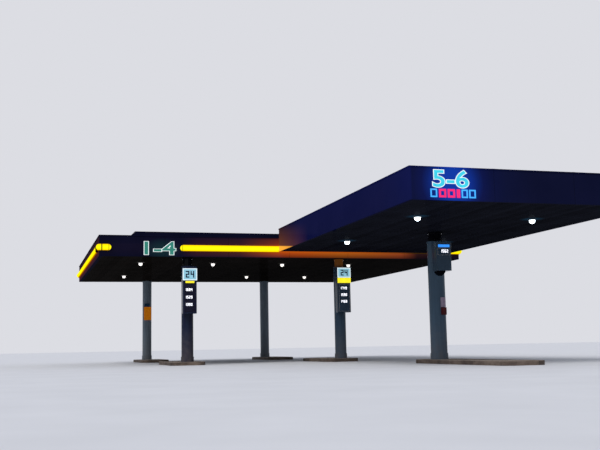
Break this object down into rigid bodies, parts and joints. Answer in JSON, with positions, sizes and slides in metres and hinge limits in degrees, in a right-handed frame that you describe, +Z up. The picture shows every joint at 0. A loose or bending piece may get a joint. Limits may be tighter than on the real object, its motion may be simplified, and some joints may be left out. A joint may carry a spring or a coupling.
{
  "type": "filling station canopy",
  "caption": "Open drive-through canopy: a low flat deck on round columns with a lit band on its fascia, joined by a higher wing deck on one column, on kerbed islands.",
  "frame": {"origin": "ground level, in the middle of the whole canopy's plan", "axes": "+X along the main deck's front to the right, +Y from the wing deck towards the main deck, +Z up"},
  "size_m": [17.4798, 30.79, 6.11],
  "materials": {
    "kerb_concrete": "rough cast concrete",
    "column_paint": "satin enamel",
    "frame_steel": "matt primer",
    "roof_sheet": "galvanised",
    "soffit_panel": "gloss coil coated",
    "main_fascia": "satin composite panel",
    "wing_fascia": "gloss composite panel",
    "band_acrylic": "lit opal acrylic",
    "lamp_glass": "lit glass in a white dish",
    "board_case": "satin enamel",
    "notice_plate": "satin enamel",
    "notice_white": "satin enamel",
    "stop_box_paint": "gloss enamel",
    "trim_black": "satin black"
  },
  "bodies": {
    "root": {"island_front_left": "kerb_concrete", "island_front_right": "kerb_concrete", "island_rear_left": "kerb_concrete", "island_rear_right": "kerb_concrete", "island_wing": "kerb_concrete", "column_front_left": "column_paint", "column_front_right": "column_paint", "column_rear_left": "column_paint", "column_rear_right": "column_paint", "column_wing": "column_paint", "main_beam_left": "frame_steel", "main_beam_right": "frame_steel", "main_cross_beams": "frame_steel", "main_purlins": "frame_steel", "main_roof_sheet": "roof_sheet", "main_soffit": "soffit_panel", "main_fascia_front": "main_fascia", "main_fascia_rear": "main_fascia", "main_fascia_left": "main_fascia", "main_fascia_right": "main_fascia", "main_edge_strip": "main_fascia", "band_front_short": "band_acrylic", "band_front_long": "band_acrylic", "band_left": "band_acrylic", "band_right": "band_acrylic", "band_rear": "band_acrylic", "main_lamps": "lamp_glass", "wing_beam": "frame_steel", "wing_cross_beams": "frame_steel", "wing_purlins": "frame_steel", "wing_roof_sheet": "roof_sheet", "wing_soffit": "soffit_panel", "wing_fascia_front": "wing_fascia", "wing_fascia_rear": "wing_fascia", "wing_fascia_left": "wing_fascia", "wing_fascia_right": "wing_fascia", "wing_lamps": "lamp_glass", "joint_flashing": "trim_black", "price_board_left": "board_case", "price_board_right": "board_case", "wing_board": "board_case", "column_notice": "notice_plate", "wing_notice": "notice_white", "wing_stop_box": "stop_box_paint"}
  },
  "joints": []
}
